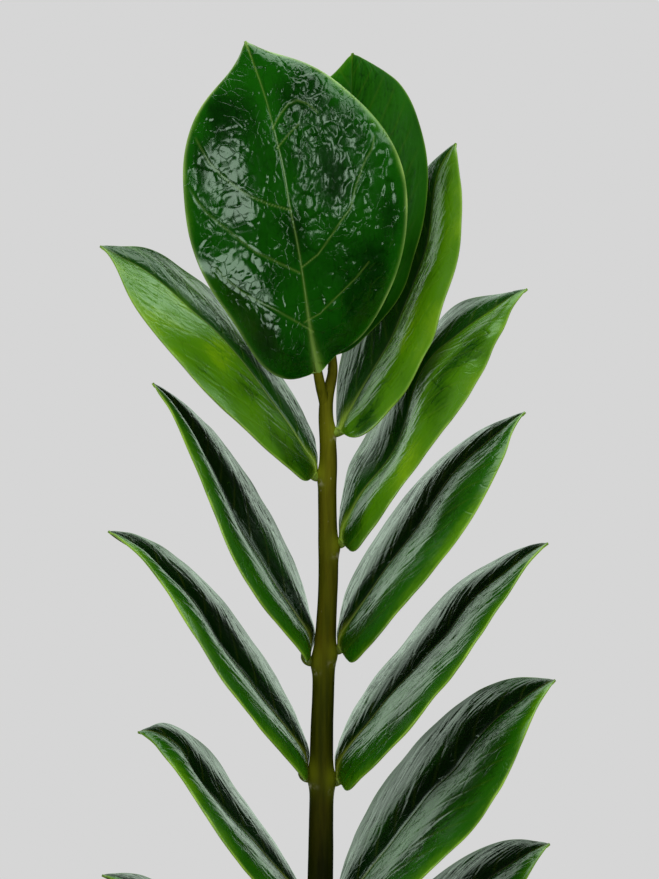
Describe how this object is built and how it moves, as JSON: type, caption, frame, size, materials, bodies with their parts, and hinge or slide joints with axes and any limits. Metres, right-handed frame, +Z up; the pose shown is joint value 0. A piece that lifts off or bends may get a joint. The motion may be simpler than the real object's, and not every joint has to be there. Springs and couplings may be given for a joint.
{
  "type": "potted zz plant",
  "caption": "Potted ZZ plant: an upright frond of thick glossy leaflets in near-opposite pairs on a fleshy stalk, rooted by a rhizome in soil in a plain terracotta pot.",
  "frame": {"origin": "centre of the pot's flat underside, where the plant stands on a surface", "axes": "+Z up along the stalk, -Y the way the leaflets' glossy upper faces look, +X to the right as seen from the front"},
  "size_m": [0.126, 0.126, 0.4782],
  "materials": {
    "leaf": "gloss",
    "young_leaf": "gloss",
    "stalk": "satin",
    "rhizome": "matte",
    "sheath": "matte",
    "soil": "matte",
    "terracotta": "matte"
  },
  "bodies": {
    "root": {"pot": "terracotta", "soil": "soil", "rhizome": "rhizome", "stalk": "stalk", "basal_sheath": "sheath", "leaflet_tip_front": "leaf", "leaflet_tip_back": "leaf", "leaflet_right_1": "young_leaf", "leaflet_right_2": "young_leaf", "leaflet_right_3": "leaf", "leaflet_right_4": "leaf", "leaflet_right_5": "leaf", "leaflet_right_6": "leaf", "leaflet_right_7": "leaf", "leaflet_left_1": "young_leaf", "leaflet_left_2": "leaf", "leaflet_left_3": "leaf", "leaflet_left_4": "leaf", "leaflet_left_5": "leaf", "leaflet_left_6": "leaf"}
  },
  "joints": []
}
